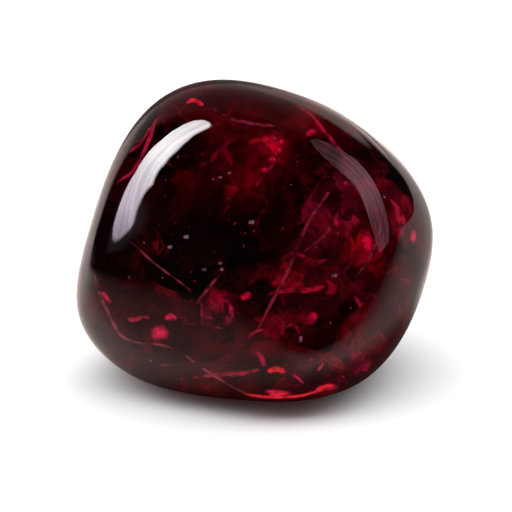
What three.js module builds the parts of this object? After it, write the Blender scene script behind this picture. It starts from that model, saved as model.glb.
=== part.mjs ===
// Garnet pebble: one tumbled and polished stone of clear, deep red garnet.
//
// Units are millimetres and +Z is up. The origin is the middle of the stone's plan box, on the flat
// spot that it rests on. +X runs along its longest extent, and -Y is the side that faces a viewer.
//
// A tumbled stone keeps the broad faces of the rough piece it was broken into, worn down until they
// run into each other without an edge. Its surface is made the same way: each worn face is a plane
// that looks one way, and the planes are blended where they meet.

import * as THREE from 'three';
import { mergeVertices } from 'three/addons/utils/BufferGeometryUtils.js';

// Driving dimensions, in millimetres.
const STONE_LENGTH = 24; // longest extent, along X
const REST_WEAR = 0.3; // how deep the flat spot at the lowest point is worn

// How tightly the worn faces meet: 2 would wear them to a plain ball, 20 would leave crisp edges.
const CORNER_TIGHTNESS = 9;

// The mesh is a cube of this many squares along each side, pushed out to the stone's surface.
const SQUARES_PER_SIDE = 26;

// Each worn face: the way it looks, in degrees (azimuth 0 is +X and 90 is +Y, elevation 90 is up),
// and its reach, the distance of its plane from the middle of the rough piece.
const WORN_FACES = [
  { name: 'left', azimuth: 162, elevation: 15, reach: 10.7 },
  { name: 'right', azimuth: 0, elevation: 40, reach: 11.6 },
  { name: 'upper left', azimuth: 130, elevation: 50, reach: 12 },
  { name: 'upper right', azimuth: 50, elevation: 62, reach: 10.7 },
  { name: 'upper front', azimuth: -98, elevation: 50, reach: 9.4 },
  { name: 'front', azimuth: -112, elevation: 6, reach: 10.1 },
  { name: 'front left', azimuth: -124, elevation: 18, reach: 11.9 },
  { name: 'front right', azimuth: -60, elevation: 10, reach: 10.9 },
  { name: 'back', azimuth: 90, elevation: 5, reach: 10.2 },
  { name: 'back left', azimuth: 138, elevation: 8, reach: 12.2 },
  { name: 'back right', azimuth: 45, elevation: 8, reach: 12 },
  { name: 'lower left', azimuth: -165, elevation: -40, reach: 14 },
  { name: 'lower right', azimuth: -12, elevation: -10, reach: 12.6 },
  { name: 'lower front', azimuth: -95, elevation: -66, reach: 12.4 },
  { name: 'lower front right', azimuth: -20, elevation: -46, reach: 13.3 },
  { name: 'lower back left', azimuth: 125, elevation: -30, reach: 11.8 },
  { name: 'lower back right', azimuth: 50, elevation: -33, reach: 11.2 },
  { name: 'underside', azimuth: 0, elevation: -90, reach: 9.9 },
];

const GARNET = new THREE.MeshStandardMaterial({
  color: 0x4a0a10,
  roughness: 0.05,
  metalness: 0,
});

/** Turns a face's azimuth and elevation into a unit vector. */
function facing({ azimuth, elevation }) {
  const turn = THREE.MathUtils.degToRad(azimuth);
  const rise = THREE.MathUtils.degToRad(elevation);
  const level = Math.cos(rise);
  return new THREE.Vector3(level * Math.cos(turn), level * Math.sin(turn), Math.sin(rise));
}

/** Gives the distance from the middle of the stone to its surface along a unit vector. */
function surfaceDistance(ray, planes) {
  let sum = 0;
  for (const { normal, reach } of planes) {
    const nearness = Math.max(0, ray.dot(normal) / reach);
    sum += nearness ** CORNER_TIGHTNESS;
  }
  return sum ** (-1 / CORNER_TIGHTNESS);
}

/** Makes a closed cube of even squares whose corners are shared, from -1 to 1 on each axis. */
function closedCube(squares) {
  const cube = new THREE.BoxGeometry(2, 2, 2, squares, squares, squares);
  cube.deleteAttribute('normal');
  cube.deleteAttribute('uv');
  return mergeVertices(cube);
}

/** Evens out the squares when the cube is blown up to a ball. */
function spread(coordinate) {
  return Math.tan((coordinate * Math.PI) / 4);
}

/** Moves every corner of the mesh to the place that a function gives for it. */
function movePoints(geometry, place) {
  const points = geometry.attributes.position;
  const point = new THREE.Vector3();
  for (let i = 0; i < points.count; i += 1) {
    point.fromBufferAttribute(points, i);
    place(point);
    points.setXYZ(i, point.x, point.y, point.z);
  }
  geometry.computeBoundingBox();
}

/** Pushes the cube out to the worn faces. */
function pushOutToSurface(geometry) {
  const planes = WORN_FACES.map((face) => ({ normal: facing(face), reach: face.reach }));
  movePoints(geometry, (point) => {
    point.set(spread(point.x), spread(point.y), spread(point.z)).normalize();
    point.multiplyScalar(surfaceDistance(point, planes));
  });
}

/** Brings the stone to its real length. */
function bringToLength(geometry) {
  const { min, max } = geometry.boundingBox;
  const growth = STONE_LENGTH / (max.x - min.x);
  movePoints(geometry, (point) => point.multiplyScalar(growth));
}

/** Wears the lowest point flat, and sets the flat spot at z = 0. */
function wearRestingSpot(geometry) {
  const restLevel = geometry.boundingBox.min.z + REST_WEAR;
  movePoints(geometry, (point) => point.setZ(Math.max(point.z - restLevel, 0)));
}

/** Centres the stone in plan, over the origin. */
function centreInPlan(geometry) {
  const middle = geometry.boundingBox.getCenter(new THREE.Vector3());
  movePoints(geometry, (point) => point.set(point.x - middle.x, point.y - middle.y, point.z));
}

/** Builds the stone's closed surface. */
function stoneGeometry() {
  const geometry = closedCube(SQUARES_PER_SIDE);
  pushOutToSurface(geometry);
  bringToLength(geometry);
  wearRestingSpot(geometry);
  centreInPlan(geometry);
  geometry.computeVertexNormals();
  return geometry;
}

const stone = new THREE.Mesh(stoneGeometry(), GARNET);
stone.name = 'garnet_stone';

const group = new THREE.Group();
group.add(stone);

export default group;
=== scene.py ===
"""The looks of a tumbled, polished garnet pebble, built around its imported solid.

Everything is in metres, in the solid's own frame: +Z is up, +X runs along the stone's longest
side, and -Y is the side that faces a viewer.
"""

import logging
import math
import random
from collections.abc import Callable, Iterator, Sequence
from contextlib import contextmanager
from dataclasses import dataclass, replace
from enum import Enum

import bpy
from mathutils import Euler, Matrix, Vector


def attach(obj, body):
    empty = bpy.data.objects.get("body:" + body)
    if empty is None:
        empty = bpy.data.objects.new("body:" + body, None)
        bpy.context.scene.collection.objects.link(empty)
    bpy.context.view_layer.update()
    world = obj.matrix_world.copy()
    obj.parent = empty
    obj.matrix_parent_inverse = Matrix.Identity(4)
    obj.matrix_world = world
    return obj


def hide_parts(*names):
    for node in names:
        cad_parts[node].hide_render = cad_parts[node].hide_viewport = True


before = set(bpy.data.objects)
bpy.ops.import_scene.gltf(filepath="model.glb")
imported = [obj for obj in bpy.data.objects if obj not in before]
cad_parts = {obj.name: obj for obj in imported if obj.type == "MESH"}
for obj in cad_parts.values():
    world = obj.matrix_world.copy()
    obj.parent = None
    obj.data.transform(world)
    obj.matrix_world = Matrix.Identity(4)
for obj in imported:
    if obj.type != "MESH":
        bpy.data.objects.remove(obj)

LOG = logging.getLogger("garnet")
MM = 0.001
STONE_NODE = "garnet_stone"
STONE_BODY = "root"
SEAM_GAP = 0.001 * MM

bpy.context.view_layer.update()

Tree = bpy.types.NodeTree
Material = bpy.types.Material
Piece = bpy.types.Object
Pair = tuple[float, float]
Triple = tuple[float, float, float]
Span = Pair
Colour = Triple

RISE: Span = (0.0, 1.0)
FALL: Span = (1.0, 0.0)
WHITE = (1.0, 1.0, 1.0, 1.0)


# ---- Modelling helpers ----


def select_only(piece: Piece) -> None:
    """Selects one object and makes it the active one."""
    bpy.ops.object.select_all(action="DESELECT")
    piece.select_set(True)
    bpy.context.view_layer.objects.active = piece


def add_mesh(shape: Callable[..., object], **settings: object) -> Piece:
    """Adds one of Blender's own shapes, with nothing else selected."""
    bpy.ops.object.select_all(action="DESELECT")
    shape(**settings)
    return bpy.context.active_object


@contextmanager
def editing(piece: Piece) -> Iterator[None]:
    """Opens all of a piece's mesh for editing, and closes it again."""
    select_only(piece)
    bpy.ops.object.mode_set(mode="EDIT")
    bpy.ops.mesh.select_all(action="SELECT")
    yield
    bpy.ops.object.mode_set(mode="OBJECT")


def apply_modifier(piece: Piece, kind: str, **settings: object) -> None:
    """Adds a modifier to a piece, sets it up and applies it.

    Args:
        piece: the object that is shaped.
        kind: the modifier's type name.
        settings: the modifier's own settings, by name.
    """
    select_only(piece)
    modifier = piece.modifiers.new(kind.lower(), kind)
    for name, value in settings.items():
        setattr(modifier, name, value)
    bpy.ops.object.modifier_apply(modifier=modifier.name)


def freeze_place(piece: Piece) -> None:
    """Moves a piece's place, turn and scale into its mesh."""
    select_only(piece)
    bpy.ops.object.transform_apply(location=True, rotation=True, scale=True)


def copy_of_solid(name: str) -> Piece:
    """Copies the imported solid, a closed skin of loose triangles."""
    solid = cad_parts[STONE_NODE]
    piece = solid.copy()
    piece.data = solid.data.copy()
    piece.name = piece.data.name = name
    bpy.context.scene.collection.objects.link(piece)
    piece.hide_viewport = False
    piece.hide_set(False)
    return piece


def dress(piece: Piece, material: Material) -> None:
    """Gives a piece its material and its place in the frame."""
    select_only(piece)
    bpy.ops.object.shade_smooth()
    piece.data.materials.clear()
    piece.data.materials.append(material)
    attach(piece, STONE_BODY)


def seal_in(piece: Piece, name: str, material: Material) -> Piece:
    """Names and dresses a piece that lies in the stone."""
    piece.name = piece.data.name = name
    freeze_place(piece)
    dress(piece, material)
    return piece


def join(pieces: list[Piece]) -> Piece:
    """Joins pieces into one object."""
    bpy.ops.object.select_all(action="DESELECT")
    for piece in pieces:
        piece.select_set(True)
    bpy.context.view_layer.objects.active = pieces[0]
    bpy.ops.object.join()
    return bpy.context.active_object


def towards(azimuth: float, elevation: float) -> Vector:
    """Gives the unit vector that looks along an azimuth and elevation in degrees."""
    turn, rise = math.radians(azimuth), math.radians(elevation)
    level = math.cos(rise)
    return Vector((level * math.cos(turn), level * math.sin(turn), math.sin(rise)))


def facing(way: Vector) -> Matrix:
    """Turns +Z to look along a vector, with +Y kept upright."""
    return way.to_track_quat("Z", "Y").to_matrix().to_4x4()


# ---- Shader helpers ----


def sign(operation: str, swapped: bool = False) -> Callable[..., "Wire"]:
    """Makes the method that does one of Blender's sums on a wire, or on a number and a wire."""

    def act(wire: "Wire", *others: "Feed") -> "Wire":
        """Does the sum, with the wire last if it is swapped."""
        node = add_node(wire.tree, "Math", operation=operation)
        for socket, value in zip(node.inputs, (*others, wire) if swapped else (wire, *others)):
            feed(socket, value)
        return Wire(node.outputs["Value"])

    return act


@dataclass(frozen=True)
class Wire:
    """What comes out of a shader node. Signs such as + and * do sums on it."""

    socket: bpy.types.NodeSocket

    @property
    def tree(self) -> Tree:
        """The node tree that the wire lies in."""
        return self.socket.id_data

    __add__ = sign("ADD")
    __sub__ = sign("SUBTRACT")
    __rsub__ = sign("SUBTRACT", swapped=True)
    __mul__ = sign("MULTIPLY")
    __truediv__ = sign("DIVIDE")
    __rtruediv__ = sign("DIVIDE", swapped=True)
    __pow__ = sign("POWER")
    __abs__ = sign("ABSOLUTE")
    root = sign("SQRT")
    at_least = sign("MAXIMUM")

    def ramp(
        self, span: tuple["Feed", "Feed"], result: Span = RISE, course: str = "LINEAR"
    ) -> "Wire":
        """Turns one range of numbers into another and holds it at both ends.

        Args:
            span: the numbers between which the result changes.
            result: the result at the start and at the end of the span.
            course: how it changes, by Blender's name for it.

        Returns:
            The wire with the result.
        """
        return tap(
            self.tree, "MapRange", "Result", interpolation_type=course, Value=self,
            From_Min=span[0], From_Max=span[1], To_Min=result[0], To_Max=result[1],
        )

    def ease(self, span: tuple["Feed", "Feed"], result: Span = RISE) -> "Wire":
        """Does what ramp does, but eases in and out."""
        return self.ramp(span, result, "SMOOTHSTEP")

    def scaling(self, vector: "Feed") -> "Wire":
        """Multiplies a vector or colour by the wire's number."""
        node = add_node(self.tree, "VectorMath", operation="SCALE", Scale=self)
        feed(node.inputs[0], vector)
        return Wire(node.outputs["Vector"])

    def vector(self, operation: str, other: "Feed" = (0.0, 0.0, 0.0)) -> "Wire":
        """Does one sum on vectors, by Blender's name for it."""
        node = add_node(self.tree, "VectorMath", operation=operation)
        feed(node.inputs[0], self)
        feed(node.inputs[1], other)
        numbers = {"DOT_PRODUCT", "DISTANCE"}
        return Wire(node.outputs["Value" if operation in numbers else "Vector"])

    def axis(self, name: str) -> "Wire":
        """Takes one axis of a vector: X, Y or Z."""
        return tap(self.tree, "SeparateXYZ", name, Vector=self)


Feed = Wire | float | Sequence[float]


def feed(socket: bpy.types.NodeSocket, value: Feed) -> None:
    """Links a wire to an input, or sets the input to a plain value."""
    if isinstance(value, Wire):
        socket.id_data.links.new(value.socket, socket)
    else:
        socket.default_value = value


def add_node(tree: Tree, kind: str, **given: object) -> bpy.types.Node:
    """Adds a shader node.

    Args:
        tree: the node tree it goes into.
        kind: the node's type name, without the "ShaderNode" that starts it.
        given: settings by name, in small letters, and what goes into each input by the input's
            name, with a capital and with underscores for spaces.

    Returns:
        The new node.
    """
    node = tree.nodes.new("ShaderNode" + kind)
    for name, value in given.items():
        if name[0].islower():
            setattr(node, name, value)
        else:
            feed(node.inputs[name.replace("_", " ")], value)
    return node


def tap(tree: Tree, kind: str, output: str, **given: object) -> Wire:
    """Adds a shader node, as add_node does, and gives one of its outputs."""
    return Wire(add_node(tree, kind, **given).outputs[output])


def mix(share: Wire, first: Wire, second: Wire) -> Wire:
    """Mixes two shaders: the first where the share is 0 and the second where it is 1."""
    node = add_node(share.tree, "MixShader", Fac=share)
    feed(node.inputs[1], first)
    feed(node.inputs[2], second)
    return Wire(node.outputs["Shader"])


def noise(place: Wire, scale: Feed, seed: Feed, detail: float, output: str = "Fac") -> Wire:
    """Makes rough noise of about 0.2 to 0.8 that changes with a seed.

    Args:
        place: the wire with the coordinates.
        scale: how many lumps there are to a metre.
        seed: which noise it is.
        detail: how many finer layers it has.
        output: "Fac" for a number or "Color" for three.

    Returns:
        The wire with the noise.
    """
    return tap(
        place.tree, "TexNoise", output, noise_dimensions="4D", Vector=place, Scale=scale, W=seed,
        Detail=detail, Roughness=0.58,
    )


def bumped(height: Wire, relief: float) -> Wire:
    """Makes the normal of a surface whose relief, in metres, follows a height of 0 to 1."""
    return tap(height.tree, "Bump", "Normal", Strength=1.0, Distance=relief, Height=height)


def fresh_tree(owner: Material | bpy.types.Light | bpy.types.World) -> Tree:
    """Gives a material, light or world an empty node tree."""
    owner.use_nodes = True
    owner.node_tree.nodes.clear()
    return owner.node_tree


@dataclass(frozen=True)
class SharedEffect:
    """A node group that many materials use. It is built when it is first used."""

    name: str
    defaults: tuple[tuple[str, float], ...]
    draw: Callable[[Tree, dict[str, Wire]], dict[str, Wire]]

    def group(self) -> Tree:
        """Builds the group, or finds it if it is there."""
        if self.name in bpy.data.node_groups:
            return bpy.data.node_groups[self.name]
        tree = bpy.data.node_groups.new(self.name, "ShaderNodeTree")
        for label, value in self.defaults:
            socket = tree.interface.new_socket(label, in_out="INPUT", socket_type="NodeSocketFloat")
            socket.default_value = value
        given = tree.nodes.new("NodeGroupInput").outputs
        drawn = self.draw(tree, {label: Wire(given[label]) for label, _ in self.defaults})
        for label in drawn:
            tree.interface.new_socket(label, in_out="OUTPUT", socket_type="NodeSocketFloat")
        output = tree.nodes.new("NodeGroupOutput")
        for label, wire in drawn.items():
            feed(output.inputs[label], wire)
        return tree

    def use(self, tree: Tree, **values: float) -> dict[str, Wire]:
        """Places the group in a material, with the material's own values."""
        node = add_node(tree, "Group", node_tree=self.group(), **values)
        return {output.name: Wire(output) for output in node.outputs}


def draw_fracture(tree: Tree, given: dict[str, Wire]) -> dict[str, Wire]:
    """Draws a healed fracture, which breaks up in angular, ragged facets.

    Args:
        tree: the group's node tree.
        given: Scale in facets to a metre, Cover from 0 to about 1, and Seed.

    Returns:
        Patch, where the fracture stops light as a dark sheet of painted shade, Facet, how bright
        each facet's painted glow is, graded across it as if the facet were tilted to the light,
        Rim, the thin lines between facets, and Cloud, which is soft.
    """
    scale, seed = given["Scale"], given["Seed"]
    half = (0.5, 0.5, 0.5)
    place = tap(tree, "TexCoord", "Object")
    warp = noise(place, scale * 1.6, seed, 2.0, "Color").vector("SUBTRACT", half)
    warped = place.vector("ADD", (0.8 / scale).scaling(warp))
    shifted = warped.vector("ADD", seed.scaling((1.0, 1.0, 1.0)))
    fit = {"Vector": shifted, "Scale": scale}
    cells = add_node(tree, "TexVoronoi", **fit).outputs
    border = tap(tree, "TexVoronoi", "Distance", feature="DISTANCE_TO_EDGE", **fit)
    shade = Wire(cells["Color"])
    ragged, clouds, silk = (noise(place, scale * grain, seed, 3.0) for grain in (1.3, 0.8, 4.5))
    blend = shade.axis("X") * 0.3 + ragged
    edge = given["Cover"] * -0.6 + 0.95
    # A painted shading across each facet, as if each facet were tilted to the light.
    fan = shifted.vector("SUBTRACT", Wire(cells["Position"]))
    slope = fan.vector("DOT_PRODUCT", shade.vector("SUBTRACT", half)) * scale
    facet = slope * 1.6 + shade.axis("Y")
    thin = border.ease((0.0, 0.07), FALL)
    broken = ragged.ease((0.5, 0.62))
    soft = clouds.ease((0.38, 0.66))
    return {
        "Patch": (blend - edge).ease((-0.1, 0.12)),
        "Facet": facet.ease((0.3, 1.1)),
        "Rim": thin * broken,
        "Cloud": soft * silk.ease((0.34, 0.64), (0.35, 1.0)),
    }


def draw_outline(tree: Tree, given: dict[str, Wire]) -> dict[str, Wire]:
    """Draws the outline of what lies in the stone, which fades out unevenly.

    Args:
        tree: the group's node tree, for a piece whose UV map fills a square.
        given: Scale, Seed and Raggedness of the edge, and Start and End of its fading.

    Returns:
        Mask, which is 1 in the piece's middle and 0 at its edge.
    """
    from_middle = tap(tree, "TexCoord", "UV").vector("SUBTRACT", (0.5, 0.5, 0.0))
    square = from_middle.vector("MULTIPLY", (2.0, 2.0, 0.0))
    radius = (abs(square.axis("X")) ** 4.0 + abs(square.axis("Y")) ** 2.0).root()
    rough = noise(tap(tree, "TexCoord", "Object"), given["Scale"], given["Seed"], 3.0)
    inside = 1.0 - radius + (rough - 0.5) * given["Raggedness"]
    return {"Mask": inside.ease((given["Start"], given["End"]))}


FRACTURE = SharedEffect(
    "fracture_pattern", (("Scale", 200.0), ("Cover", 0.5), ("Seed", 0.0)), draw_fracture
)
OUTLINE = SharedEffect(
    "ragged_outline",
    (("Scale", 900.0), ("Seed", 0.0), ("Raggedness", 0.8), ("Start", 0.1), ("End", 0.5)),
    draw_outline,
)


# ---- The stone ----


@dataclass(frozen=True)
class GarnetFinish:
    """Clear, deep red garnet with a tumbled polish.

    Absorption is per metre of stone, one figure each for red, green and blue light.
    """

    refraction: float = 1.76
    polish: Span = (0.006, 0.026)
    haze_grain: float = 700.0
    ripple_grain: float = 330.0
    ripple_height: float = 0.003 * MM
    absorption: Colour = (110.0, 900.0, 500.0)

    def material(self) -> Material:
        """Builds the see-through material: a clear gloss surface round an absorbing body."""
        material = bpy.data.materials.new("clear_garnet")
        tree = fresh_tree(material)
        place = tap(tree, "TexCoord", "Object")
        haze = noise(place, self.haze_grain, seed=2.0, detail=4.0)
        ripples = noise(place, self.ripple_grain, seed=5.0, detail=2.0)
        gloss = tap(
            tree, "BsdfPrincipled", "BSDF", Base_Color=WHITE, IOR=self.refraction,
            Transmission_Weight=1.0, Roughness=haze.ease((0.42, 0.68), self.polish),
            Normal=bumped(ripples, self.ripple_height),
        )
        densest = max(self.absorption)
        tint = tuple(1.0 - value / densest for value in self.absorption)
        body = tap(tree, "VolumeAbsorption", "Volume", Color=(*tint, 1.0), Density=densest)
        add_node(tree, "OutputMaterial", Surface=gloss, Volume=body)
        return material


@dataclass
class PolishedStone:
    """The polished outside of the pebble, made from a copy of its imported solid."""

    finish: GarnetFinish
    smooth_levels: int = 2
    flattest: float = math.radians(60)

    def build(self) -> Piece:
        """Builds the smooth stone and dresses it."""
        piece = copy_of_solid("polished_stone")
        with editing(piece):
            bpy.ops.mesh.remove_doubles(threshold=SEAM_GAP)
            bpy.ops.mesh.tris_convert_to_quads(
                face_threshold=self.flattest, shape_threshold=self.flattest
            )
        levels = self.smooth_levels
        apply_modifier(piece, "SUBSURF", levels=levels, render_levels=levels)
        dress(piece, self.finish.material())
        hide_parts(STONE_NODE)
        return piece


# ---- What is sealed in the stone ----


@dataclass
class FrontSight:
    """Finds points inside the stone as they are seen from the front, through its curved skin."""

    stone: Piece
    eye: Vector
    aim: Vector
    refraction: float

    def point(self, across: float, up: float, depth: float) -> Vector:
        """Follows the line of sight into the stone.

        Args:
            across: how far right of the aim the point seems, in millimetres.
            up: how far above the aim it seems, in millimetres.
            depth: how far under the skin it lies along the bent line of sight, in millimetres.

        Returns:
            The point, in metres.
        """
        gaze = (self.aim - self.eye).normalized()
        right = gaze.cross(Vector((0, 0, 1))).normalized()
        above = right.cross(gaze)
        goal = self.aim + right * across * MM + above * up * MM
        ray = (goal - self.eye).normalized()
        hit, place, normal, _ = self.stone.ray_cast(self.eye, ray)
        if not hit:
            raise ValueError(f"nothing of the stone is seen at {across}, {up}")
        return place + self.bent(ray, normal) * depth * MM

    def bent(self, ray: Vector, normal: Vector) -> Vector:
        """Bends a ray as it enters the stone."""
        ratio = 1.0 / self.refraction
        straight = -ray.dot(normal)
        inner = math.sqrt(1.0 - ratio * ratio * (1.0 - straight * straight))
        return (ratio * ray + (ratio * straight - inner) * normal).normalized()


@dataclass(frozen=True)
class PaintedGlowSpot:
    """A place where a veil's painted glow is stronger, as if the fractures caught more light there,
    with its reach in millimetres.
    """

    centre: Triple
    reach: float
    strength: float


def sealed_skin(tree: Tree, shade: Colour, **given: Feed) -> None:
    """Makes the surface of what lies in the stone: it has no shine, and its glow is painted light,
    emitted by the surface itself.
    """
    skin = tap(
        tree, "BsdfPrincipled", "BSDF", Base_Color=(*shade, 1.0), Specular_IOR_Level=0.0,
        Emission_Strength=1.0, **given,
    )
    add_node(tree, "OutputMaterial", Surface=skin)


@dataclass(frozen=True)
class VeilFinish:
    """A fracture inside the stone, partly real: its near-black ragged patches are painted shade
    that darkens the stone's inside, and its emitted red glow and bright edge lines are painted
    light.
    """

    name: str
    scale: float
    cover: float
    seed: float
    # The glow share, glow and edge-line colours are painted light, emitted where the fracture would
    # catch light.
    glow_share: float = 0.12
    glow: Colour = (0.62, 0.01, 0.09)
    painted_rim_glow: Colour = (0.15, 0.01, 0.03)
    evenness: float = 0.0
    painted_glow_spots: tuple[PaintedGlowSpot, ...] = ()
    # The near-black colour of the opaque patches, a painted shade.
    shade: Colour = (0.01, 0.001, 0.001)
    relief: float = 0.02 * MM

    def material(self) -> Material:
        """Builds the veil's material, with the pattern driving its alpha, which shows the patches
        of painted shade, and its painted glow.
        """
        if self.name in bpy.data.materials:
            return bpy.data.materials[self.name]
        material = bpy.data.materials.new(self.name)
        tree = fresh_tree(material)
        pattern = FRACTURE.use(tree, Scale=self.scale, Cover=self.cover, Seed=self.seed)
        outline = OUTLINE.use(
            tree, Scale=self.scale * 0.9, Seed=self.seed, Raggedness=1.1, Start=0.02, End=0.5
        )
        facets = pattern["Facet"] * 0.8 + 0.2
        mottle = pattern["Cloud"] * 0.85 + 0.15
        texture = facets * mottle * (1.0 - self.evenness) + self.evenness
        # The painted glow: emitted red, graded by the facets, with painted bright lines between
        # them.
        lit = (texture * self.painted_glow_strength(tree)).scaling(self.glow)
        sealed_skin(
            tree, self.shade,
            Roughness=pattern["Facet"].ramp(RISE, (0.35, 0.6)),
            Normal=bumped(pattern["Cloud"], self.relief),
            Emission_Color=lit.vector("ADD", pattern["Rim"].scaling(self.painted_rim_glow)),
            Alpha=pattern["Patch"] * outline["Mask"],
        )
        return material

    def painted_glow_strength(self, tree: Tree) -> Feed:
        """Adds up the painted glow: a base share, and more at the places where the veil would catch
        the most light.
        """
        total: Feed = self.glow_share
        place = tap(tree, "TexCoord", "Object")
        for spot in self.painted_glow_spots:
            distance = place.vector("DISTANCE", spot.centre)
            glow = distance.ease((0.0, spot.reach * MM), (spot.strength, 0.0))
            total = glow + total
        return total


@dataclass
class FractureVeil:
    """One curved fracture: a thin, wavy sheet that ends just under the stone's skin.

    Its lean and spin are in degrees; its size, wave and thickness are in millimetres. It has its
    finish's name, unless it is given one of its own.
    """

    finish: VeilFinish
    centre: Vector
    lean: Triple
    size: Pair
    name: str = ""
    spin: float = 0.0
    wave: float = 0.8
    wave_size: float = 6.0
    cuts: int = 40
    thickness: float = 0.03

    def build(self, core: Piece) -> Piece:
        """Builds the veil and trims it to the core, the closed shape that it must stay inside."""
        name = self.name or self.finish.name
        piece = add_mesh(
            bpy.ops.mesh.primitive_grid_add, x_subdivisions=self.cuts, y_subdivisions=self.cuts,
            size=1.0, location=self.centre, rotation=[math.radians(angle) for angle in self.lean],
        )
        piece.scale = (self.size[0] * MM, self.size[1] * MM, 1.0)
        bpy.ops.object.transform_apply(location=False, rotation=False, scale=True)
        piece.data.transform(Matrix.Rotation(math.radians(self.spin), 4, "Z"))
        swell = bpy.data.textures.new(name, "CLOUDS")
        swell.noise_scale = self.wave_size * MM
        apply_modifier(
            piece, "DISPLACE", texture=swell, texture_coords="GLOBAL", strength=self.wave * 2 * MM
        )
        apply_modifier(piece, "SOLIDIFY", thickness=self.thickness * MM, offset=0.0)
        apply_modifier(piece, "BOOLEAN", operation="INTERSECT", object=core, solver="EXACT")
        return seal_in(piece, name, self.finish.material())


# Dull colours for the painted bright lines between facets, and a crumpled finish with its own
# painted glow.
DULL_PAINTED_RIM_GLOW = (0.06, 0.004, 0.01)
CRUMPLED = VeilFinish(
    "crumpled_veil", 700, 0.72, 9.4, 0.9, (0.46, 0.008, 0.05), (0.08, 0.004, 0.01)
)
CRUMPLE = {"wave": 0.4, "wave_size": 1.5, "cuts": 16}

# Each veil's finish, middle as seen from the front (across, up, deep), lean, size and the rest.
# In each finish the two colours are its painted glow and its painted bright lines; main_veil's wide
# sheet across the middle gives mostly painted shade.
FRONT_VEILS = (
    (VeilFinish("main_veil", 340, 1.05, 1.7, 0.055, painted_rim_glow=(0.03, 0.002, 0.004)),
     (0.0, 0.5, 8.5), (78, 6, -8), (44, 40), {"wave": 1.2, "cuts": 60}),
    (VeilFinish("upper_veil", 420, 0.95, 4.1, 0.2), (0.6, 6.2, 4.2), (66, 16, 8), (9.5, 8.5), {}),
    (VeilFinish("right_veil", 420, 0.5, 8.3, painted_rim_glow=DULL_PAINTED_RIM_GLOW),
     (6.4, 1.2, 4.4), (84, -24, 24), (10, 13), {}),
    (VeilFinish("lower_veil", 420, 0.5, 2.9, 0.28, painted_rim_glow=DULL_PAINTED_RIM_GLOW),
     (3.6, -3.4, 4.0), (100, 8, 14), (12, 7.5), {}),
    (VeilFinish("left_veil", 520, 0.45, 6.6), (-5.4, 4.6, 3.4), (76, 30, -30), (6.5, 9), {}),
    (VeilFinish("top_veil", 420, 0.9, 7.7, 0.55, (0.24, 0.008, 0.018), (0.06, 0.004, 0.008), 0.2),
     (0.5, 10.6, 2.0), (22, 6, 0), (20, 8), {}),
    (VeilFinish("bottom_veil", 460, 1.0, 3.8, 0.6, (0.26, 0.006, 0.014), (0.08, 0.004, 0.008),
                0.08), (1.0, -7.6, 2.0), (128, 4, 4), (19, 8), {}),
    (VeilFinish("left_foot_veil", 460, 1.1, 5.9, 0.4, (0.22, 0.008, 0.014), (0.05, 0.003, 0.004),
                0.08), (-5.8, -5.6, 1.8), (104, 4, -24), (14, 9.5), {}),
    (VeilFinish("right_foot_veil", 460, 1.0, 0.6, 0.6, (0.24, 0.008, 0.016), (0.06, 0.004, 0.006),
                0.1), (8.2, -4.4, 1.4), (100, -6, 42), (7, 11), {"spin": -24}),
    (VeilFinish("rim_veil", 560, 0.8, 2.2, 0.45, (0.46, 0.008, 0.04), (0.08, 0.006, 0.01), 0.12),
     (9.5, 3.0, 1.3), (80, -30, 44), (3, 9), {"spin": 14}),
    (VeilFinish("long_veil", 560, 0.95, 1.2, 1.1, (0.26, 0.02, 0.05), (0.06, 0.01, 0.02)),
     (5.0, 2.7, 2.6), (80, 0, 6), (3.4, 9), {"spin": -30, "wave": 0.2, "cuts": 24}),
    (CRUMPLED, (-2.5, -3.8, 1.2), (80, 10, 20), (3.2, 3.6), {"name": "ring_veil"} | CRUMPLE),
    (CRUMPLED, (1.7, -5.0, 2.2), (84, -10, -12), (4.2, 3.0), {"name": "knot_veil"} | CRUMPLE),
    (CRUMPLED, (3.4, -1.4, 2.6), (86, 14, 8), (5.6, 2.2), {"name": "streak_veil"} | CRUMPLE),
    (CRUMPLED, (5.2, -7.6, 1.3), (110, 0, 20), (6.5, 3.0),
     {"name": "foot_veil"} | CRUMPLE | {"wave": 0.3}),
)

# Where veils get more painted glow, as if they caught more light, by their finish: across, up,
# deep, reach and strength.
SEEN_PAINTED_GLOW_SPOTS = {
    "main_veil": (
        (0.4, 6.8, 7.0, 3.2, 1.6), (-1.2, 5.4, 7.0, 2.6, 0.7), (6.4, 1.6, 6.0, 3.6, 1.6),
        (5.8, -1.4, 7.0, 3.2, 1.2), (3.4, -3.6, 6.0, 2.8, 0.7), (2.8, 6.2, 7.0, 3.2, 1.2),
        (-5.6, 4.2, 6.0, 2.2, 0.4),
    ),
    "upper_veil": ((0.3, 7.4, 4.0, 2.6, 2.6), (-0.4, 5.6, 4.6, 2.8, 1.3)),
    "right_veil": ((6.9, 0.2, 4.0, 3.2, 1.1),),
}


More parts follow.
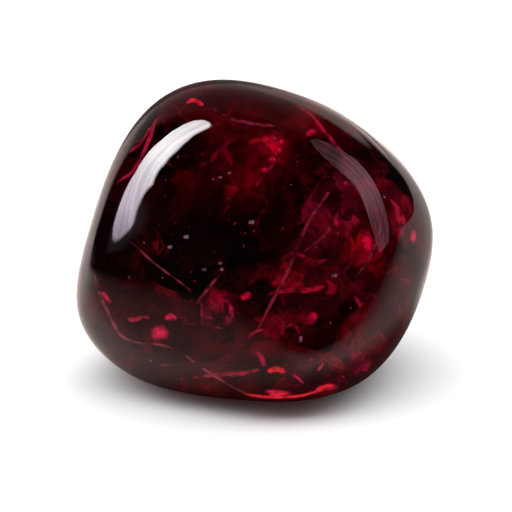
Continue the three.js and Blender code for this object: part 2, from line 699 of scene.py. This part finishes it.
@dataclass
class Fractures:
    """All the veils in the stone, kept clear of its skin by a margin."""

    sight: FrontSight
    margin: float = 0.35 * MM

    def build(self) -> list[Piece]:
        """Builds every veil, and trims them with a thinner copy of the stone."""
        core = copy_of_solid("core")
        with editing(core):
            bpy.ops.mesh.remove_doubles(threshold=SEAM_GAP)
        apply_modifier(core, "DISPLACE", strength=-self.margin, mid_level=0.0)
        veils = [veil.build(core) for veil in self.front_veils() + self.back_veils()]
        bpy.data.objects.remove(core, do_unlink=True)
        return veils

    def front_veils(self) -> list[FractureVeil]:
        """Lists the veils that show from the front, each placed as it is seen there."""
        see = self.sight.point
        veils = []
        for finish, place, lean, size, more in FRONT_VEILS:
            spots = tuple(
                PaintedGlowSpot(tuple(see(*seen)), reach, strength)
                for *seen, reach, strength in SEEN_PAINTED_GLOW_SPOTS.get(finish.name, ())
            )
            lit = replace(finish, painted_glow_spots=spots)
            veils.append(FractureVeil(lit, see(*place), lean, size, **more))
        return veils

    def back_veils(self) -> list[FractureVeil]:
        """Lists the veils in the half of the stone that is turned away."""
        # Places where the back veil's painted glow is stronger.
        spots = (
            PaintedGlowSpot((-0.003, 0.007, 0.011), 4.5, 0.7), PaintedGlowSpot((0.005, 0.007, 0.006), 3.5, 0.6)
        )
        back = VeilFinish("back_veil", 360, 0.6, 3.3, painted_glow_spots=spots)
        cross = VeilFinish("cross_veil", 420, 0.46, 5.2)
        return [
            FractureVeil(back, Vector((1, 5, 10)) * MM, (96, -10, 16), (18, 16)),
            FractureVeil(cross, Vector((-3, 4, 9)) * MM, (80, 10, 48), (12, 14)),
        ]


@dataclass(frozen=True)
class GlintFinish:
    """A bright edge, flake or grain in the stone, whose brightness is painted light: an emitted
    glint.
    """

    name: str
    # The glow colour is the painted glint; the shade is the colour under it.
    glow: Colour
    shade: Colour
    grain: float
    dimmest: float = 0.15
    raggedness: float = 0.8
    fade: Span = (0.05, 0.65)
    relief: float = 0.01 * MM

    def material(self) -> Material:
        """Builds the material: a mottled, emitted painted glint with a soft, ragged outline."""
        material = bpy.data.materials.new(self.name)
        tree = fresh_tree(material)
        mottle = noise(tap(tree, "TexCoord", "Object"), self.grain, seed=0.0, detail=3.0)
        start, end = self.fade
        mask = OUTLINE.use(
            tree, Scale=self.grain, Seed=3.0, Raggedness=self.raggedness, Start=start, End=end
        )["Mask"]
        # How bright the painted glint is, mottled.
        bright = mottle.ease((0.36, 0.62), (self.dimmest, 1.0))
        sealed_skin(
            tree, self.shade,
            Roughness=mottle.ramp((0.3, 0.7), (0.3, 0.5)),
            Normal=bumped(mottle, self.relief),
            Emission_Color=(bright * (mask * 0.75 + 0.25)).scaling(self.glow),
            Alpha=mask,
        )
        return material


@dataclass(frozen=True)
class Line:
    """A fracture seen edge on: a thin line, bright with a painted glint, through points seen from
    the front.
    """

    course: tuple[Pair, ...]
    depth: float
    width: float

    def at(self, share: float) -> Vector:
        """Gives the place a share of the way along a smooth curve through the points."""
        last = len(self.course) - 1
        start = min(int(share * last), last - 1)
        part = share * last - start
        before, here, there, after = (
            Vector(self.course[max(0, min(last, start + step))]) for step in (-1, 0, 1, 2)
        )
        bend = 2 * before - 5 * here + 4 * there - after
        twist = 3 * here - before - 3 * there + after
        return (2 * here + (there - before) * part + bend * part**2 + twist * part**3) / 2


@dataclass
class BrightLines:
    """A set of thin lines of one finish, each a narrow ribbon that fades out at its edges."""

    name: str
    sight: FrontSight
    finish: GlintFinish
    lines: tuple[Line, ...]
    steps_per_point: int = 6
    thickness: float = 0.02 * MM
    look_around: float = 0.02

    def build(self) -> Piece:
        """Builds every line and joins them."""
        ribbons = [self.ribbon(line) for line in self.lines]
        return seal_in(join(ribbons), self.name, self.finish.material())

    def ribbon(self, line: Line) -> Piece:
        """Lays one closed ribbon along its course, facing the front."""
        steps = self.steps_per_point * (len(line.course) - 1)
        drawn = add_mesh(
            bpy.ops.mesh.primitive_grid_add, x_subdivisions=steps, y_subdivisions=2, size=1.0
        )
        for corner in drawn.data.vertices:
            share, offset = corner.co.x + 0.5, corner.co.y * line.width
            behind = line.at(max(share - self.look_around, 0.0))
            ahead = line.at(min(share + self.look_around, 1.0))
            across, up = line.at(share) + (ahead - behind).orthogonal().normalized() * offset
            corner.co = self.sight.point(across, up, line.depth)
        apply_modifier(drawn, "SOLIDIFY", thickness=self.thickness, offset=0.0)
        return drawn


@dataclass(frozen=True)
class Flake:
    """A flat chip of painted light: where it is seen, how deep, how wide and high, and how it is
    turned.
    """

    across: float
    up: float
    depth: float
    width: float
    height: float
    turn: float = 0.0


@dataclass
class Flakes:
    """A set of small ragged flakes or grains of one finish, some placed and some scattered."""

    name: str
    sight: FrontSight
    finish: GlintFinish
    placed: tuple[Flake, ...]
    scattered: int
    scatter_depth: Span
    thinness: float
    seed: int
    scatter_size: Span = (0.1, 0.26)
    scatter_slimness: Span = (0.4, 1.0)
    middle: Triple = (0.0, 0.0, 9.0 * MM)
    lowest: float = 1.5 * MM
    corners: int = 10
    unevenness: float = 0.06

    def build(self) -> Piece:
        """Builds the placed flakes and the scattered ones, and joins them."""
        picker = random.Random(self.seed)
        master = self.master()
        shapes = [self.place(flake) for flake in self.placed]
        shapes += [self.scatter(picker) for _ in range(self.scattered)]
        chips = []
        for shape in shapes:
            chip = master.copy()
            chip.data = master.data.copy()
            chip.data.transform(shape)
            bpy.context.scene.collection.objects.link(chip)
            chips.append(chip)
        bpy.data.objects.remove(master, do_unlink=True)
        return seal_in(join(chips), self.name, self.finish.material())

    def master(self) -> Piece:
        """Models one ragged chip, a unit across and a unit thick."""
        chip = add_mesh(
            bpy.ops.mesh.primitive_circle_add, vertices=self.corners, radius=0.5, fill_type="TRIFAN"
        )
        with editing(chip):
            bpy.ops.transform.vertex_random(offset=self.unevenness, uniform=1.0, seed=self.seed)
        apply_modifier(chip, "SOLIDIFY", thickness=1.0, offset=0.0)
        return chip

    def place(self, flake: Flake) -> Matrix:
        """Places one flake where it is seen from the front, facing that way."""
        spot = self.sight.point(flake.across, flake.up, flake.depth)
        thin = min(flake.width, flake.height) * self.thinness
        size = Matrix.Diagonal((flake.width * MM, flake.height * MM, thin * MM, 1.0))
        turned = Matrix.Rotation(math.radians(-flake.turn), 4, "Z")
        gaze = (self.sight.aim - self.sight.eye).normalized()
        return Matrix.Translation(spot) @ facing(gaze) @ turned @ size

    def scatter(self, picker: random.Random) -> Matrix:
        """Places one flake at random under the skin, on any side of the stone."""
        while True:
            way = Vector([picker.gauss(0, 1) for _ in range(3)]).normalized()
            hit, skin, _, _ = self.sight.stone.ray_cast(self.middle, way)
            if hit and skin.z > self.lowest:
                break
        depth = picker.uniform(*self.scatter_depth) * MM
        size = picker.uniform(*self.scatter_size) * MM
        slim = picker.uniform(*self.scatter_slimness)
        shape = Matrix.Diagonal((size, size * slim, size * slim * self.thinness, 1.0))
        lean = Euler([picker.uniform(0, math.tau) for _ in range(3)]).to_matrix().to_4x4()
        return Matrix.Translation(skin - way * depth) @ lean @ shape


# The pale rose lines, which lie nearest to the skin: fracture edges with a painted glint.
ROSE_LINES = (
    Line(((6.3, 6.3), (5.6, 5.3), (4.4, 3.6), (3.6, 2.4), (2.9, 0.9), (2.2, -0.9), (0.8, -3.6),
          (0.2, -4.8), (-0.7, -6.4)), 2, 0.34),
    Line(((6.2, 5.2), (5.9, 3.7), (4.8, 1.6), (4, 0.9), (3, 0.1)), 2.4, 0.32),
    Line(((-4.2, 10.3), (-3.1, 10), (-1.75, 9.3), (-0.7, 9), (0.3, 8.8), (1.2, 8.75),
          (2.1, 8.3)), 1.6, 0.36),
    Line(((-8.6, 1.1), (-7.7, 0.3), (-6.7, -0.6), (-5.2, -1.7), (-4.1, -2.6)), 1.2, 0.2),
    Line(((-2.2, -1), (-3, -1.9), (-3.6, -2.7), (-4.3, -3.6)), 1.6, 0.32),
    Line(((-5.4, -6.2), (-3.8, -7.4), (-2.1, -8.5), (-0.3, -9.4), (0.9, -9.6)), 0.9, 0.26),
    Line(((-11, 0.3), (-10.8, -1.6), (-10.5, -2.6), (-10, -3.7), (-9.3, -5.1), (-8.5, -5.7),
          (-7.4, -5.9), (-6.3, -6), (-5.3, -6.4)), 0.9, 0.3),
    Line(((7.9, 5.4), (8.4, 3.4), (8.3, 1.6), (7.6, -0.2), (6.4, -1.8)), 1.8, 0.24),
)
# The brighter red lines and streaks: fracture edges with a painted red glint.
RED_LINES = (
    Line(((-5.1, 9.8), (-6.2, 9.5), (-6.8, 9), (-7.1, 8.1), (-7.6, 6.9), (-8.3, 5.7), (-9, 5.2),
          (-9.6, 4.7)), 1.2, 0.36),
    Line(((2.4, 10.3), (3.6, 9.6), (4.6, 8.4), (5.6, 7.2), (6.4, 6), (7, 5.2)), 1.6, 0.34),
    Line(((8.6, 5), (9.4, 3.7), (9.8, 2.2), (9.6, 0.8)), 1.3, 0.9),
    Line(((0.6, -2.6), (2.2, -2.3), (3.5, -2.3), (4.9, -2)), 2.4, 0.5),
    Line(((-4.4, -8.2), (-2.6, -8), (-0.9, -7.9), (0.3, -7.6)), 1.2, 0.42),
    Line(((-0.2, -6), (0.3, -6.7), (0.6, -7.5)), 1.2, 0.5),
    Line(((9.7, 0.2), (9.5, -1.8), (8.9, -3.6), (8.2, -4.9), (7.2, -6)), 1.2, 0.44),
    Line(((5.2, -7.1), (6.1, -6.9), (6.9, -6.6), (7.3, -6)), 1.2, 0.6),
    Line(((5.7, -8.2), (6.4, -7.9), (7.2, -7.7)), 1, 0.54),
    Line(((3.8, -9.3), (4.6, -8.9), (5.6, -8.8)), 0.8, 0.5),
    Line(((4.9, -6.8), (4.5, -7.3), (4.1, -7.8)), 1.2, 0.3),
    Line(((2.3, -7.8), (2.9, -8.3), (3.2, -8.6)), 1.2, 0.3),
    Line(((1.6, -4.6), (2.2, -4.4), (2.8, -4.9), (3, -5.5)), 2, 0.38),
    Line(((-8.8, -4.2), (-8.2, -4.3), (-7.6, -4.1), (-7.1, -4.2)), 1.2, 0.4),
    Line(((-10.9, -1.5), (-10.5, -2.3), (-9.6, -3.3)), 1, 0.42),
    Line(((-2.4, -2.8), (-1.8, -3.2), (-1.7, -4), (-2.2, -4.7), (-3, -4.6), (-3.4, -3.9),
          (-3.1, -3.2), (-2.5, -2.9)), 1.1, 0.5),
    Line(((-6.6, -7.3), (-5.4, -7.4), (-4.2, -7.2)), 1, 0.3),
    Line(((-0.9, -5.9), (-0.2, -5.2), (0.6, -4.9)), 1.6, 0.3),
    Line(((6.6, -2.6), (7.2, -3.8), (6.9, -4.8), (6, -5.4)), 1.8, 0.44),
    Line(((-8.6, 6.9), (-7.8, 7.6), (-6.9, 8.9)), 1.5, 0.3),
    Line(((3.2, 0), (4, -0.9), (4.7, -1.5), (5.4, -2.6)), 2.8, 0.4),
    Line(((1.8, 7.3), (1.2, 6.2), (0.6, 5.6), (-0.2, 4.4)), 2.2, 0.3),
    Line(((6.9, 5.4), (7.6, 4.2), (8.1, 2.8)), 2, 0.36),
    Line(((1.6, -0.4), (2.6, 0.2), (3.9, -0.4), (4.9, -0.2)), 2.8, 0.4),
)
# The brightest streaks, along the bottom edge and low on the right: a painted glow where light
# would shine through the stone.
EMBER_LINES = (
    Line(((-1.2, -9.2), (0.2, -9.42), (1.6, -9.5), (3, -9.4), (4.4, -9)), 0.5, 0.26),
    Line(((0.8, -9.25), (1.5, -9.35), (2.2, -9.2)), 0.6, 0.34),
    Line(((4, -9.1), (4.7, -8.8), (5.4, -8.75)), 0.7, 0.44),
    Line(((4.5, -7), (5, -6.7), (5.5, -7.1)), 1.1, 0.62),
    Line(((6, -7), (6.8, -6.7), (7.2, -6.1)), 1.1, 0.4),
    Line(((0.7, -7.8), (1.4, -7.6), (2, -7.9)), 1.1, 0.5),
    Line(((-4.9, 10.2), (-4.2, 10.5), (-3.5, 10.1)), 1.1, 0.42),
    Line(((-0.6, 7.6), (0.2, 7.9), (1, 7.7)), 1.8, 0.7),
)
# The bright red flakes, painted glints, more of them towards the underside.
RED_FLAKES = (
    Flake(-6.5, -5.2, 1.2, 1.4, 1.2, 20),
    Flake(1.5, 7.1, 1.8, 0.46, 0.56, -30),
    Flake(1.1, 6.5, 1.8, 0.48, 0.5),
    Flake(0.6, 5.8, 1.8, 0.46, 0.56, -20),
    Flake(1.7, 7.7, 1.8, 0.34, 0.4, -20),
    Flake(7.5, 0.9, 2.6, 0.8, 1.8, 8),
    Flake(3.8, -4.1, 2.2, 0.6, 0.8),
    Flake(-0.7, -2.7, 2.6, 0.8, 0.66, 30),
    Flake(3.6, -6.7, 1.2, 0.7, 0.8, -20),
    Flake(1.5, -9.2, 0.8, 1.8, 0.5, -5),
    Flake(7.1, -3.2, 2.6, 0.5, 0.8),
    Flake(10.6, 1.3, 1, 0.7, 1.1),
    Flake(-1.9, -4.4, 1, 0.6, 0.8, 25),
    Flake(-3, -3.2, 1, 0.5, 0.6, -15),
    Flake(-5.7, -4.1, 1.4, 1.1, 0.6, 15),
    Flake(5.9, 5, 1.6, 0.7, 0.5, 0),
    Flake(3.7, 8.3, 1.6, 0.7, 0.6, 35),
    Flake(5.4, 2.2, 2.4, 0.4, 0.6, -20),
)
# The fine pale grains that lie like dust close under the skin, pale in their own colour, with a
# painted glow that makes them shine.
PALE_GRAINS = (
    Flake(-0.3, 2.3, 0.5, 0.4, 0.36),
    Flake(-4.7, 1.3, 0.6, 0.4, 0.34),
    Flake(-5.8, 0.6, 0.8, 0.38, 0.32),
    Flake(-3.5, -0.9, 1, 0.34, 0.3),
    Flake(-2.4, -0.5, 1, 0.32, 0.28),
    Flake(-2.3, -0.9, 1, 0.28, 0.28),
    Flake(5.3, -1.3, 0.9, 0.44, 0.34),
    Flake(3, -5.6, 0.9, 0.26, 0.6),
    Flake(-2.4, 5.3, 1.4, 0.28, 0.26),
    Flake(-1.8, 5.6, 1.4, 0.28, 0.26),
)


@dataclass
class Inclusions:
    """The lines, flakes and grains in the stone."""

    sight: FrontSight

    def build(self) -> list[Piece]:
        """Builds every set, from the pale lines near the skin to the dust of grains."""
        # Each finish's first colour is painted light, an emitted glint or glow; the second is the
        # colour under it.
        rose = GlintFinish("rose_edge", (0.24, 0.06, 0.07), (0.06, 0.01, 0.02), 1400.0)
        red = GlintFinish("red_edge", (0.4, 0.022, 0.065), (0.1, 0.01, 0.01), 1800.0)
        ember = GlintFinish("ember", (0.95, 0.03, 0.05), (0.1, 0.01, 0.01), 1500.0, 0.3)
        flake = GlintFinish(
            "red_flake", (0.78, 0.022, 0.12), (0.1, 0.01, 0.02), 2500.0, 0.35, 0.6, (0.0, 0.85)
        )
        pale = GlintFinish("pale_grain", (0.2, 0.15, 0.16), (0.2, 0.14, 0.14), 2500.0, 0.1, 0.4)
        sight = self.sight
        sets = (
            BrightLines("rose_lines", sight, rose, ROSE_LINES),
            BrightLines("red_lines", sight, red, RED_LINES),
            BrightLines("ember_lines", sight, ember, EMBER_LINES),
            Flakes("red_flakes", sight, flake, RED_FLAKES, 60, (3.0, 8.0), 0.12, seed=11),
            Flakes("pale_grains", sight, pale, PALE_GRAINS, 130, (0.7, 2.4), 0.5, seed=5),
        )
        return [group.build() for group in sets]


# ---- The stage ----


@dataclass
class Floor:
    """The pale surface the stone lies on, which runs into the bright backdrop further off."""

    front: float = 0.06
    side: float = 1.2
    back: float = 1.5
    reflectance: float = 0.86
    # The grey the floor is painted where it is seen through the stone, a painted shade.
    seen_through: float = 0.22
    backdrop: float = 1.05
    fade: Span = (0.08, 0.25)
    # A reddish tint on the floor where the polish mirrors it, a painted red reflected light.
    painted_reflection_tint: Colour = (1.04, 0.86, 0.82)

    def build(self) -> Piece:
        """Builds the floor, which ends a short way in front of the stone."""
        depth = self.front + self.back
        floor = add_mesh(
            bpy.ops.mesh.primitive_plane_add, size=1.0, location=(0.0, self.back - depth / 2, 0.0)
        )
        floor.name = "floor"
        floor.scale = (2 * self.side, depth, 1.0)
        freeze_place(floor)
        floor.data.materials.append(self.material())
        return floor

    def material(self) -> Material:
        """Builds the floor's matt white, which is given a dimmer painted shade where the stone's
        polish mirrors it and a painted grey where it is seen through the stone.
        """
        material = bpy.data.materials.new("pale_floor")
        tree = fresh_tree(material)
        material.cycles.emission_sampling = "NONE"
        away = tap(tree, "TexCoord", "Object").vector("DISTANCE")
        path = add_node(tree, "LightPath").outputs
        backdrop = tap(tree, "Emission", "Emission", Strength=self.backdrop)
        white, painted_through_floor, dim = (
            tap(tree, "BsdfDiffuse", "BSDF", Color=colour)
            for colour in (
                (self.reflectance,) * 3 + (1.0,),
                (self.seen_through,) * 3 + (1.0,),
                self.painted_reflection_shade(tree).scaling(self.painted_reflection_tint),
            )
        )
        # Plain white for the camera; painted shade where it is seen through the stone or in its
        # polish.
        seen = mix(away.ease(self.fade), white, backdrop)
        through = mix(Wire(path["Is Transmission Ray"]), seen, painted_through_floor)
        whole = mix(Wire(path["Is Glossy Ray"]), through, dim)
        add_node(tree, "OutputMaterial", Surface=whole)
        return material

    def painted_reflection_shade(self, tree: Tree) -> Wire:
        """Paints shade on the floor as the polish mirrors it: pale behind and left, dim in front,
        and a painted contact shadow at the foot.
        """
        place = tap(tree, "TexCoord", "Object")
        across, depth = place.axis("X"), place.axis("Y")
        widening = across.ramp((-0.08, -0.03), (0.5, 1.0))
        near = (depth * widening).ease((-0.02, 0.012), (0.0, 0.86))
        edge = (across * 0.25 + depth).ramp((-0.04, 0.0), (0.95, 0.0))
        distant = edge * across.ramp((-0.13, -0.09), FALL)
        left = (near + depth.ramp((-0.056, -0.01), (0.02, 0.14))) * (1.0 - distant)
        nearer = depth + across.ramp((0.008, 0.04), (0.02, 0.0))
        right = nearer.ramp((-0.025, -0.004), (0.0, 0.25))
        side = (depth * -0.2 + across).ease((0.002, 0.02))
        # A painted contact shadow round the stone's foot.
        near_foot = place.vector("DISTANCE", (0.005, -0.002, 0.0))
        foot = near_foot.ease((0.009, 0.019), (0.1, 1.0))
        return (left * (1.0 - side) + right * side) * foot


def set_up(name: str, data: bpy.types.ID, place: Matrix, hidden_from: Sequence[str] = ()) -> Piece:
    """Puts a lamp or a camera in its place, hidden from some kinds of rays."""
    thing = bpy.data.objects.new(name, data)
    bpy.context.scene.collection.objects.link(thing)
    thing.matrix_world = place
    for ray in hidden_from:
        setattr(thing, f"visible_{ray}", False)
    return thing


class LightOutline(Enum):
    """The outlines a softbox can have."""

    STRIP = "RECTANGLE"
    OVAL = "ELLIPSE"

    def softbox(self, name: str, width: float, length: float, radiance: float) -> bpy.types.Light:
        """Makes an area light that looks equally bright whatever its size."""
        light = bpy.data.lights.new(name, "AREA")
        light.shape = self.value
        light.size = width
        light.size_y = length
        light.energy = radiance * math.pi * width * length
        return light


@dataclass
class StripLight:
    """A long, narrow softbox that runs up beside the stone, from one direction to another.

    The directions are azimuth and elevation in degrees, seen from the stone, the reaches are how
    far off the two ends are, and the glows are how bright each end looks, in red, green and blue.
    """

    name: str
    foot: Pair
    head: Pair
    foot_reach: float
    head_reach: float
    width: float
    foot_glow: Colour
    head_glow: Colour
    outline: LightOutline
    bend: float = 0.5
    lit_share: float = 1.0
    foot_lean: float = 0.0
    streaks: Span = (0.8, 1.04)
    streak_grain: Triple = (11.0, 1.6, 1.0)
    swell: float = 0.0

    def build(self) -> Piece:
        """Builds the light, facing the stone."""
        low = towards(*self.foot) * self.foot_reach
        high = towards(*self.head) * self.head_reach
        run = high - low
        across = run.cross(low + high).normalized()
        light = self.outline.softbox(self.name, self.width, run.length, 1.0)
        self.shade(light, run.length / self.width)
        turned = Matrix((across, run.normalized(), across.cross(run).normalized())).transposed()
        place = Matrix.Translation((low + high) / 2) @ turned.to_4x4()
        return set_up(self.name, light, place, ("camera", "diffuse"))

    def shade(self, light: bpy.types.Light, slimness: float) -> None:
        """Grades the light from foot to head, with soft streaks along it."""
        tree = fresh_tree(light)
        place = tap(tree, "NewGeometry", "Parametric")
        height = place.axis("Y")
        foot, head = Vector(self.foot_glow), Vector(self.head_glow)
        rise = height.ramp((0.0, self.bend))
        colour = rise.scaling(head - foot).vector("ADD", foot)
        stretched = place.vector("MULTIPLY", self.streak_grain)
        streaks = noise(stretched, 1.0, seed=1.0, detail=3.0).ease((0.38, 0.62), self.streaks)
        strength = streaks * abs(height - 0.5).ease((0.08, 0.36), (1.0 + self.swell, 1.0))
        if self.outline is LightOutline.STRIP:
            strength = strength * self.lit_part(place, slimness)
        glow = tap(tree, "Emission", "Emission", Color=colour, Strength=strength)
        add_node(tree, "OutputLight", Surface=glow)

    def lit_part(self, place: Wire, slimness: float) -> Wire:
        """Makes a mask that lights the middle of the strip, down to a round foot that leans back.

        Args:
            place: the place on the light, 0 to 1 across and along.
            slimness: the light's length in widths.

        Returns:
            The wire with the mask.
        """
        height = place.axis("Y")
        half = self.lit_share / 2
        foot_lean = height.ramp((0.0, 0.15), (self.foot_lean, -0.012))
        lean = foot_lean + height.ramp((0.27, 0.65), (0.0, 0.035))
        widening = height.ramp((0.0, 0.45), (0.82, 1.1))
        across = (place.axis("X") - 0.5 + lean) / widening
        below = half * 1.2 - height * slimness
        beyond = below.at_least(height.ramp((0.8, 1.0), (0.0, half * 1.15))).at_least(0.0)
        reach = (across * across + beyond * beyond).root()
        core = reach.ramp((half * 0.84, half), FALL)
        glare = height.ramp((0.03, 0.09), (0.04, 0.0))
        lit = core.at_least(reach.ramp((half, half * 1.5), FALL) * glare)
        ends = height.ramp((0.0, 0.05), (0.5, 1.0)) * height.ramp((0.45, 1.0), (1.0, 0.76))
        return lit * ends


@dataclass
class Surroundings:
    """The room: bright low down behind the stone, dim above it and dark in front."""

    fill: float = 0.25
    backdrop: float = 1.05
    bright_side: float = 115.0
    low_glow: float = 1.15
    high_glow: float = 0.03
    dark: float = 0.01
    seen_through: float = 0.28
    tint: Colour = (1.04, 0.82, 0.79)

    def build(self) -> bpy.types.World:
        """Builds the world shader."""
        world = bpy.data.worlds.new("studio")
        bpy.context.scene.world = world
        tree = fresh_tree(world)
        path = add_node(tree, "LightPath").outputs
        through = Wire(path["Is Transmission Ray"]) * (self.seen_through - 1.0) + 1.0
        looks = (
            (self.tint, self.mirrored_room(tree) * through),
            ((1.0, 1.0, 1.0), self.fill),
            ((1.0, 1.0, 1.0), self.backdrop),
        )
        room, sky, backdrop = (
            tap(tree, "Background", "Background", Color=(*colour, 1.0), Strength=strength)
            for colour, strength in looks
        )
        soft = mix(Wire(path["Is Diffuse Ray"]), room, sky)
        add_node(tree, "OutputWorld", Surface=mix(Wire(path["Is Camera Ray"]), soft, backdrop))
        return world

    def mirrored_room(self, tree: Tree) -> Wire:
        """Makes what the polish mirrors and what is seen through the stone."""
        direction = tap(tree, "TexCoord", "Generated")
        level = direction.vector("MULTIPLY", (1, 1, 0)).vector("NORMALIZE")
        bright_side = level.vector("DOT_PRODUCT", towards(self.bright_side, 0.0))
        behind = bright_side.ease((0.56, 0.74), (self.dark, 1.0))
        glow = direction.axis("Z").ramp(RISE, (self.low_glow, self.high_glow))
        lamp_side = direction.vector("DOT_PRODUCT", towards(146.0, 12.0))
        brighter = lamp_side.ease((0.84, 0.96), (0.0, 0.6))
        wall_side = direction.vector("DOT_PRODUCT", towards(104.0, 14.0))
        gap = wall_side.ease((0.89, 0.97), (1.0, 0.2))
        window_side = direction.vector("DOT_PRODUCT", towards(70.0, 34.0))
        window = window_side.ease((0.93, 0.975), (0.0, 0.6))
        return (behind * gap * (glow + brighter)).at_least(window)


@dataclass
class OverheadLight:
    """A wide soft lamp above the stone, which lights the floor and never shows in the polish."""

    place: Pair = (100.0, 78.0)
    reach: float = 0.6
    width: float = 5.0
    depth: float = 1.0
    radiance: float = 2.35

    def build(self) -> Piece:
        """Builds the lamp, facing down at the stone."""
        oval_share = math.pi / 4
        light = LightOutline.OVAL.softbox(
            "overhead", self.width, self.depth, self.radiance * oval_share
        )
        away = towards(*self.place)
        place = Matrix.Translation(away * self.reach) @ facing(away)
        return set_up("overhead", light, place, ("camera", "glossy", "transmission"))


@dataclass
class Viewpoint:
    """The camera, low in front of the stone."""

    rise: float = 20.0
    distance: float = 143.6 * MM
    aim: Triple = (0.0, 0.0, 7.88 * MM)
    focal_length: float = 150.0
    nearest: float = 0.005
    farthest: float = 20.0

    def eye(self) -> Vector:
        """Gives the place of the camera."""
        return Vector(self.aim) + towards(-90.0, self.rise) * self.distance

    def build(self) -> Piece:
        """Builds the camera and makes it the scene's."""
        lens = bpy.data.cameras.new("camera")
        lens.lens = self.focal_length
        lens.clip_start = self.nearest
        lens.clip_end = self.farthest
        away = self.eye() - Vector(self.aim)
        camera = set_up("camera", lens, Matrix.Translation(self.eye()) @ facing(away))
        bpy.context.scene.camera = camera
        return camera


def build_stage() -> None:
    """Builds the floor, the room, the lights and the camera."""
    Viewpoint().build()
    Floor().build()
    Surroundings().build()
    OverheadLight().build()
    StripLight(
        "left_strip", foot=(-145.0, 2.0), head=(-167.8, 79.4), foot_reach=0.3, head_reach=1.98,
        width=0.16, foot_glow=(5.8, 4.9, 6.0), head_glow=(12.2, 11.6, 12.1),
        outline=LightOutline.STRIP, bend=0.3, lit_share=0.61, foot_lean=0.24,
    ).build()
    StripLight(
        "right_strip", foot=(-19.0, -3.0), head=(-58.0, 87.0), foot_reach=0.3, head_reach=0.3,
        width=0.08, foot_glow=(0.52, 0.26, 0.37), head_glow=(0.42, 0.23, 0.28),
        outline=LightOutline.OVAL, streaks=(0.55, 1.05), swell=1.7,
    ).build()
    view = bpy.context.scene.view_settings
    view.view_transform = "Standard"
    view.look = "None"


def main() -> None:
    """Builds the stage and the stone."""
    logging.basicConfig(level=logging.INFO, format="%(name)s: %(message)s")
    build_stage()
    LOG.info("stage built")
    finish, view = GarnetFinish(), Viewpoint()
    stone = PolishedStone(finish).build()
    sight = FrontSight(stone, view.eye(), Vector(view.aim), finish.refraction)
    for piece in [stone, *Fractures(sight).build(), *Inclusions(sight).build()]:
        LOG.info("%s: %d faces", piece.name, len(piece.data.polygons))


if __name__ == "__main__":
    main()
